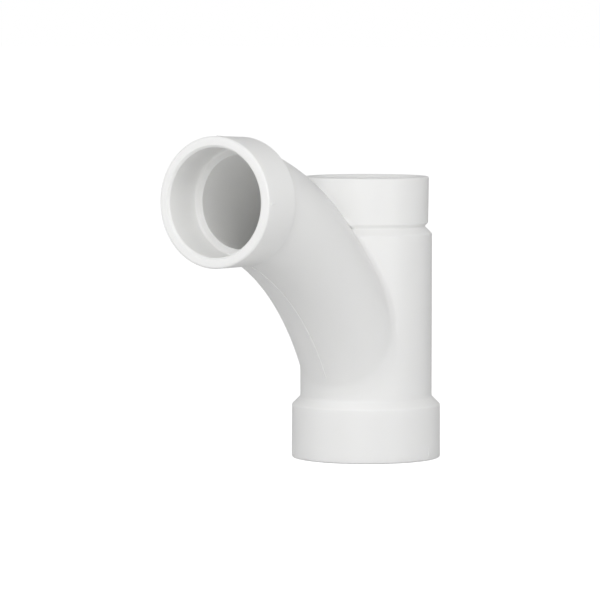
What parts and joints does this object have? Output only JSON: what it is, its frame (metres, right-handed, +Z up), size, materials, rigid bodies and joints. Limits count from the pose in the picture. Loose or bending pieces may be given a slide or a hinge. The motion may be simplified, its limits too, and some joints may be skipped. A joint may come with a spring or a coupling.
{
  "type": "combination tee wye",
  "caption": "Reducing drain fitting: an upright run with socket hubs at both ends and one long curved branch that ends in a nearly level socket hub.",
  "frame": {"origin": "centre of the outlet's mouth, on the run's axis", "axes": "+Z up the run, from the outlet to the inlet; +X towards the branch; the fitting is the same on both sides of the XZ plane"},
  "size_m": [0.159, 0.0696, 0.1523],
  "materials": {
    "moulded_plastic": "smooth white moulded plastic with a soft sheen"
  },
  "bodies": {
    "root": {"fitting": "moulded_plastic"}
  },
  "joints": []
}
